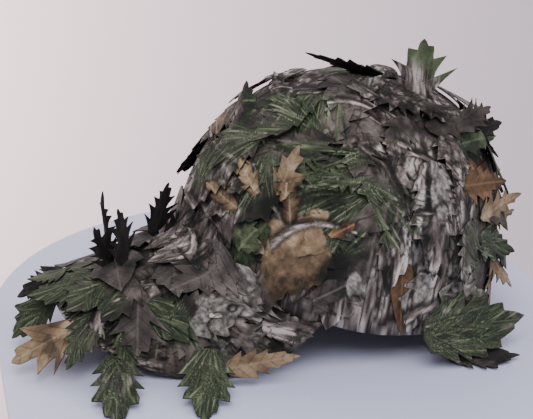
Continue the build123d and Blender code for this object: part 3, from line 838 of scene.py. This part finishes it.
# ---- flaps where the leaves are
# name, azimuth, height, turn, length, width, base, print, outline, teeth, curl, cup, seed
for row in (
    ("front_bark", 16, 62, -172, 92, 38, 2.6, "cap", "torn", 9, 7, 2, 1),
    ("golden_oak", 61, 34, 170, 52, 36, 1.2, "cap", "torn", 4, 5, 1, 2),
    ("fern_spray", 40, 32, 96, 40, 26, 4.2, "cap", "saw", 5, 5, -2, 3),
    ("oak_high", 47, 78, 6, 32, 22, 4.2, "tan", "oak", 3, 6, -2, 4),
    ("pine_upper", 52, 104, 32, 46, 28, 1.2, "cap", "saw", 6, 6, 1, 5),
    ("pine_mid", 76, 94, 60, 50, 24, 1.2, "cap", "saw", 6, 5, 1, 6),
    ("pine_low", 80, 68, 64, 58, 22, 2.6, "cap", "saw", 6, 5, 1, 7),
    ("top_brown", 60, 124, 30, 50, 28, 4.2, "cap", "saw", 5, 6, 2, 8),
    ("bark_tall", 102, 70, 178, 72, 34, 4.2, "cap", "torn", 7, 5, -2, 9),
    ("rear_green", 128, 109, 92, 44, 20, 2.6, "green", "saw", 6, 9, -2, 10),
    ("rear_brown", 133, 88, 96, 42, 24, 1.2, "rust", "saw", 5, 8, -2, 11),
    ("rear_tan", 152, 66, 96, 34, 18, 2.6, "tan", "fern", 5, 8, 0, 12),
    ("pale_lichen", 122, 28, 94, 42, 26, 2.6, "lichen", "oak", 4, 6, -2, 13),
    ("orange_long", 96, 26, 172, 40, 14, 1.2, "rust", "smooth", 1, 4, -2, 14),
    ("far_front", 336, 66, -172, 66, 36, 1.2, "cap", "torn", 7, 6, 2, 15),
    ("far_oak", 296, 40, 168, 50, 34, 1.2, "tan", "oak", 4, 7, 1, 16),
    ("far_bark", 258, 70, 178, 70, 34, 2.6, "cap", "torn", 8, 6, -1, 17),
    ("far_lichen", 230, 34, 94, 44, 28, 1.2, "lichen", "oak", 4, 7, -2, 18),
):
    crown_flap(*row, leaf=True)
# name, reach, bend, turn, then the same
for row in (
    ("smooth_dark", 42, 14, 82, 50, 34, 1.2, "grey", "torn", 3, 9, 4, 19),
    ("folded_grey", 14, 30, 78, 38, 28, 1.2, "grey", "torn", 4, 6, 3, 20),
    ("lichen_patch", 6, 52, 174, 44, 32, 2.6, "cap", "torn", 5, 5, 2, 21),
    ("grey_serrated", 46, 50, 66, 42, 38, 2.6, "grey", "oak", 4, 4, 0, 22),
    ("striped_edge", 69, 42, 62, 30, 20, 1.2, "pale_bark", "saw", 4, 2, 0, 23),
    ("needles_front", 76, 10, -8, 48, 42, 2.6, "needles", "saw", 5, 2, -1, 24),
    ("far_visor", 40, -38, -74, 48, 36, 1.2, "needles", "saw", 5, 6, 1, 25),
):
    visor_flap(*row, leaf=True)
# name, base point, tip, facing, length, width, print, outline, teeth, bow, cup, seed, held, rest
for row in (
    ("upright_long", (-99, -6, 52), (-98, -6, 96), (1, 0.25, 0), 46, 22, "black", "fern", 5, -4, 2,
     26, "hung", "visor_top_cover"),
    ("tall_upright", (82, -28, 134), (84, -30, 182), (-0.35, -1, 0.1), 49, 42, "green_tip", "fern",
     4, -3, 1, 27, "hung", "crown_panel_side_left"),
    ("oak_drooping", (-122, -38, 28), (-161, -37, 6), (-0.6, -0.5, 0.8), 52, 46, "tan", "oak", 3, 3,
     1, 28, "hung", "visor_top_cover"),
    ("hanging_olive", (-104, -56, 15), (-116, -114, 1.4), (0, -0.2, 1), 60, 30, "olive", "block", 5,
     -3, 0, 29, "laid", "visor_top_cover"),
    ("hanging_needles", (-56, -69, 18), (-71, -124, 1.4), (0, -0.2, 1), 58, 32, "needles", "block",
     5, -3, 0, 30, "laid", "visor_top_cover"),
    ("under_brim", (-50, -85, 12), (-6, -91, 18), (0, -1, 0.2), 44, 18, "tan", "saw", 5, 1, 0, 31,
     "hung", "visor_top_cover"),
    ("rear_fern", (62, -96, 21), (140, -75, 17), (0.2, -1, 0.5), 78, 44, "olive", "block", 6, 1, 0,
     32, "hung", "sweatband"),
    ("rear_dark", (82, -82, 1.6), (120, -98, 1.6), (0, 0, 1), 46, 34, "dark", "block", 5, 1, 0, 33,
     "laid", "sweatband"),
):
    free_flap(*row, leaf=True)

# ---- flaps between them
LIVELY = ["green", "tan", "needles", "rust"]
SORTS = ["green", "tan", "needles", "bark", "grey", "lichen"]
rng = np.random.default_rng(77)
count = 0
for row, (height, pitch) in enumerate(((24, 25), (52, 26), (80, 30), (104, 38), (122, 60))):
    for k in range(int(360 / pitch)):
        az = (k * pitch + row * 11 + rng.uniform(-5, 5)) % 360
        tall = height + rng.uniform(-6, 6)
        if tall < 60 and 158 < az < 202:
            continue
        if tall < 34 and (az < 30 or az > 330):
            tall += 22
        turn = 180 + rng.uniform(-55, 55) + (25 if row > 2 else 0)
        style = "cap" if rng.random() < 0.8 or az < 125 else LIVELY[rng.integers(4)]
        length, width = rng.uniform(36, 54), rng.uniform(24, 36)
        kind = ["saw", "saw", "torn", "oak"][rng.integers(4)]
        lifted = rng.uniform(3, 8) + (3 if 115 < az < 300 else 0)
        if 60 < az < 118 and tall < 90:
            kind, lifted = "torn", lifted * 0.35
        if az > 335 or az < 14:
            lifted *= 0.35
        if 125 < az < 345 and rng.random() < 0.72:
            style = SORTS[rng.integers(6)]
        crown_flap(f"fill_{count:02d}", az, tall, turn, length, width, 0.9 + 1.2 * (count % 3),
                   style, kind, int(rng.integers(4, 7)), lifted, rng.uniform(-3, 2), 40 + count)
        count += 1
# reach, bend, turn, length, width, print
for k, (*place, style) in enumerate((
    (62, -20, -40, 44, 34, "cap"), (26, -4, 20, 40, 30, "cap"), (20, -46, -120, 44, 32, "cap"),
    (50, 34, 40, 38, 28, "cap"), (28, 50, 110, 34, 26, "needles"), (-8, 66, 120, 36, 26, "pale_bark"),
    (-18, 50, 190, 30, 24, "cap"), (64, 24, 30, 36, 28, "cap"), (2, -62, -110, 34, 26, "tan"),
    (60, -44, -50, 34, 26, "cap"), (74, -26, -30, 30, 24, "needles"), (82, -6, 0, 26, 24, "green"),
    (22, 66, 100, 30, 22, "cap"), (-30, 66, 150, 28, 20, "bark"), (56, 58, 70, 26, 20, "needles"),
)):
    visor_flap(f"brim_{k:02d}", *place, 0.9 + 0.9 * (k % 4), style,
               "torn" if k % 3 == 1 else "saw", 4 + k % 3, 5, 1, 150 + k)
# base point, tip, facing, length, width, print, outline
for k, (start, *row) in enumerate((
    ((-92, -16, 50), (-96, -18, 88), (0.7, -0.9, 0.1), 42, 26, "black", "fern"),
    ((-98, -8, 46), (-110, -8, 76), (0.5, -0.9, 0.1), 34, 24, "black", "fern"),
    ((-72, 0, 60), (-62, 2, 94), (0.6, -0.9, 0.1), 40, 28, "black", "fern"),
    ((-66, -4, 60), (-48, -2, 78), (0.5, -0.9, 0.3), 30, 22, "black", "fern"),
    ((66, -10, 151), (16, -10, 167), (0.2, 0.5, 1), 52, 20, "black", "block"),
    ((100, -46, 128), (126, -44, 140), (0.3, -1, 0.5), 26, 22, "dark", "oak"),
    ((104, -40, 122), (134, -40, 126), (0.3, -1, 0.5), 28, 22, "black", "saw"),
    ((-132, -6, 36), (-159, -3, 5), (-0.7, -0.5, 0.8), 42, 34, "needles", "block"),
    ((-124, 12, 40), (-152, 24, 20), (-0.5, -0.5, 0.8), 38, 24, "dark", "saw"),
    ((-112, -36, 33), (-136, -62, 6), (-0.3, -0.8, 0.8), 42, 24, "olive", "saw"),
)):
    free_flap(f"raised_{k}", start, *row, 5, 2, 1, 180 + k, "hung",
              "visor_top_cover" if start[0] < 0 else "crown_panel_side_left")
# bend, length, width, base, print, outline, teeth, lap, swing
for k, row in enumerate((
    (6, 62, 38, 1.6, "bark", "torn", 8, 26, 0.15),
    (22, 58, 34, 3.4, "twigged", "torn", 7, 30, -0.1),
    (36, 56, 38, 4.0, "grey", "saw", 6, 36, 0.1), (50, 50, 34, 2.6, "lichen", "block", 6, 34, 0.2),
    (-10, 58, 36, 2.6, "grey", "torn", 7, 28, -0.1),
    (-27, 56, 36, 1.6, "bark", "saw", 6, 30, 0.1), (-44, 54, 34, 2.8, "needles", "block", 6, 34, -0.2),
)):
    bridge_flap(f"bridge_{k}", *row, 200 + k)
# azimuth, height, turn, length, width, outline, curl, print
for k, (*place, kind, curl, style) in enumerate((
    (70, 127, 250, 44, 26, "saw", 8, "cap"), (100, 124, 120, 40, 24, "fern", 11, "cap"),
    (118, 116, 100, 40, 24, "fern", 12, "dark"), (20, 112, 300, 40, 24, "saw", 8, "cap"),
    (8, 96, 320, 36, 24, "saw", 9, "cap"), (140, 74, 80, 40, 24, "oak", 12, "tan"),
    (138, 52, 110, 40, 24, "saw", 11, "needles"), (146, 36, 140, 38, 22, "oak", 12, "tan"),
    (84, 108, 200, 38, 24, "saw", 7, "cap"), (168, 84, 175, 44, 30, "saw", 9, "grey"),
    (66, 84, 230, 36, 22, "saw", 7, "cap"), (34, 66, 200, 40, 24, "saw", 7, "cap"),
    (190, 92, 185, 46, 30, "saw", 9, "needles"), (178, 112, 170, 44, 28, "oak", 9, "tan"),
)):
    crown_flap(f"tuft_{k:02d}", *place, 3.0, style, kind, 5, curl, -2, 230 + k)

# ---- inner parts
SWEAT_INSET = 5.2
BINDING = 6.0
TAPE_HALF = 6.95


def inner_cloth(name, p, thick, mat, outward, body="cap"):
    """Sewn-in cloth that stands for a CAD node; p is its visible face in the rim frame."""
    facing = world((p - HEART) * (1 if outward else -1)) - RIM_AT
    cloth(f"cloth_{name}", world(p), None, thick, facing,
          name, body, mat)


def grid(first, first_count, second, second_count):
    one = np.linspace(*first, max(4, int(first_count / STEP)))[:, None]
    two = np.linspace(*second, max(4, int(second_count / STEP)))[None, :]
    return one + 0 * two, two + 0 * one


for panel, start, end in (SEAMS[0], SEAMS[-1]):
    level, azimuth = grid((2.6 / HEIGHT, 0.798), 120, (start + 1.1, end - 1.1), 80)
    p = crown(azimuth, level, -2.15)
    inner_cloth(f"buckram_{panel}", p, 0.8, BUCKRAM, False,
                "cap")

for k, (panel, azimuth, _) in enumerate(SEAMS):
    low = 54.3 if azimuth == 180 else 6.3  # the rear one starts above the opening
    start = low / (HEIGHT - rise(HALF_LENGTH * math.cos(math.radians(azimuth))))
    level, across = grid((start**1.5, 0.938), 130, (-TAPE_HALF, TAPE_HALF), 14)
    turn = math.radians(azimuth)
    p = crown(azimuth, level ** (1 / 1.5), -3.25)
    p = p + across[..., None] * np.array([-math.sin(turn), math.cos(turn), 0.0])
    p = onto_crown(p, -3.27 + 0.06 * np.cos(across / TAPE_HALF * math.pi))
    inner_cloth(f"seam_tape_{k + 1}", p, 0.5, TAPE, False)

azimuth, high = grid((-127.8, 127.8), 440, (1.7, 31.3), 30)
foot = rise(HALF_LENGTH * np.cos(np.radians(azimuth)))
rumple = 0.12 * (noise(azimuth / 9, high / 7, high * 0, 4) - 0.5)
rumple = rumple - 0.18 * np.exp(-(((high - 28.6) / 1.1) ** 2))  # a stitched groove near its top
p = crown(azimuth, high / (HEIGHT - SWEAT_INSET - foot), -SWEAT_INSET + rumple)
inner_cloth("sweatband", p, 1.2, TWILL, False,
            "cap")

turn, reach = grid((math.radians(8.2), math.radians(171.8)), 130, (0.6, BINDING - 0.1), 8)
p = np.stack([0 * turn - 90.0, (OPENING_HALF + reach) * np.cos(turn),
              OPENING_FOOT + (OPENING_ARCH + reach) * np.sin(turn)], -1)
p = onto_crown(p, -1.35 - 0.12 * np.cos(reach / BINDING * 2 * math.pi))
inner_cloth("rear_opening_binding", p, 0.65, TAPE, True)

# the strap's layers: radius, thickness, ends, inset, material, body, slot, what it rests on
for name, radius, thick, first, last, inset, mat, body, slot, rests in (
    ("hook_tab", 68.6, 1.0, -54, 24, 0.0, TAPE, "tab", "strap_webbing", "hook_pile"),
    ("hook_pile", 67.6, 0.9, -14, 22, 1.5, HOOKS, "tab", "hook_tape", "hook_tab"),
    ("loop_pile", 66.4, 0.9, -26, 34, 1.5, LOOPS, "cap", "loop_tape", "loop_strap"),
    ("loop_strap", 65.5, 1.0, -30, 50, 0.0, TAPE, "cap", "strap_webbing", "loop_pile"),
):
    side, high = grid((first + 0.1, last - 0.1), last - first, (4.1 + inset, 23.9 - inset), 20)
    ridge = 0.06 * np.cos((high - 14) / (9.9 - inset) * 2 * math.pi)
    p = np.stack([-29.4 - np.sqrt((radius - 0.1 + ridge) ** 2 - side**2), side, high], -1)
    width = 20 - 2 * inset
    inner_cloth(name, p, thick - 0.2, mat, True, body)

for name, mat in (("top_button", PRINT), ("button_washer", STEEL), ("visor_board", BOARD)):
    mesh = bpy.data.objects[name].data
    mesh.materials.clear()
    mesh.materials.append(mat)
    if mat is PRINT:
        at = np.empty(len(mesh.vertices) * 3)
        mesh.vertices.foreach_get("co", at)
        paint_print(mesh, bark(at.reshape(-1, 3) / MM, 8, 0.02))

# ---- table, backdrop, light, camera
def flat_material(name, colour, rough):
    def build(tree, shader):
        where = node(tree, "TexCoord").outputs["Object"]
        cloud = node(tree, "TexNoise", {"Vector": where}, Scale=6.0, Detail=6.0)
        shaded(tree, shader, cloud, [c * 0.97 for c in colour], colour)
        shader.inputs["Roughness"].default_value = rough
    return material(name, build)


def staged(name, verts, faces, mat):
    mesh = bpy.data.meshes.new(name)
    mesh.from_pydata(verts, [], faces)
    mesh.materials.append(mat)
    thing = bpy.data.objects.new(name, mesh)
    bpy.context.scene.collection.objects.link(thing)
    return thing


# a table top with a round end, and a wall far behind it
bow = [(0.009 + 0.175 * math.cos(t), 0.038 + 0.175 * math.sin(t)) for t in np.linspace(0, math.pi, 97)]
ring = [(0.184, -0.9)] + bow + [(-0.175, -0.9)]
count = len(ring)
verts = [(x, y, -0.0002) for x, y in ring] + [(x, y, -0.012) for x, y in ring]
faces = [tuple(range(count))]
faces += [(k, k + count, (k + 1) % count + count, (k + 1) % count) for k in range(count)]
staged("table", verts, faces, flat_material("table_top", (0.56, 0.582, 0.77), 0.35))
staged("wall", [(-5, 2.2, -4), (6, 2.2, -4), (6, 2.2, 4), (-5, 2.2, 4)], [(0, 1, 2, 3)],
       flat_material("backdrop", (0.87, 0.8, 0.9), 0.9))


def aimed(name, data, where, aim):
    thing = bpy.data.objects.new(name, data)
    bpy.context.scene.collection.objects.link(thing)
    thing.location = where
    thing.rotation_euler = (Vector(aim) - Vector(where)).to_track_quat("-Z", "Y").to_euler()
    return thing


def lamp(name, where, aim, size, power, colour):
    light = bpy.data.lights.new(name, "AREA")
    light.energy, light.size, light.color = power, size, colour
    aimed(name, light, where, aim)


lamp("key", (-0.22, -0.75, 1.15), (0, 0, 0.05), 0.9, 15.5, (1.0, 0.98, 0.96))
lamp("fill", (0.85, -0.75, 0.7), (0, 0, 0.06), 0.9, 7, (0.94, 0.96, 1.0))
lamp("back", (-0.2, 0.65, 0.9), (0, 0.1, 0.0), 0.7, 5, (1.0, 0.97, 0.95))
lamp("wash", (-1.2, 1.2, 0.0), (-0.06, 2.2, -0.67), 0.73, 95, (1.0, 0.8, 0.71))
sky = bpy.data.worlds.new("studio")
sky.use_nodes = True
glow = sky.node_tree.nodes["Background"].inputs
glow["Color"].default_value = (0.93, 0.93, 1.0, 1)
glow["Strength"].default_value = 0.55
bpy.context.scene.world = sky

view = bpy.data.cameras.new("camera")
view.sensor_width, view.lens, view.sensor_fit = 36.0, 83.85, "HORIZONTAL"
view.clip_start = 0.02
bpy.context.scene.camera = aimed("camera", view, (-0.1963, -0.6775, 0.3271), (-0.002, 0, 0.0706))
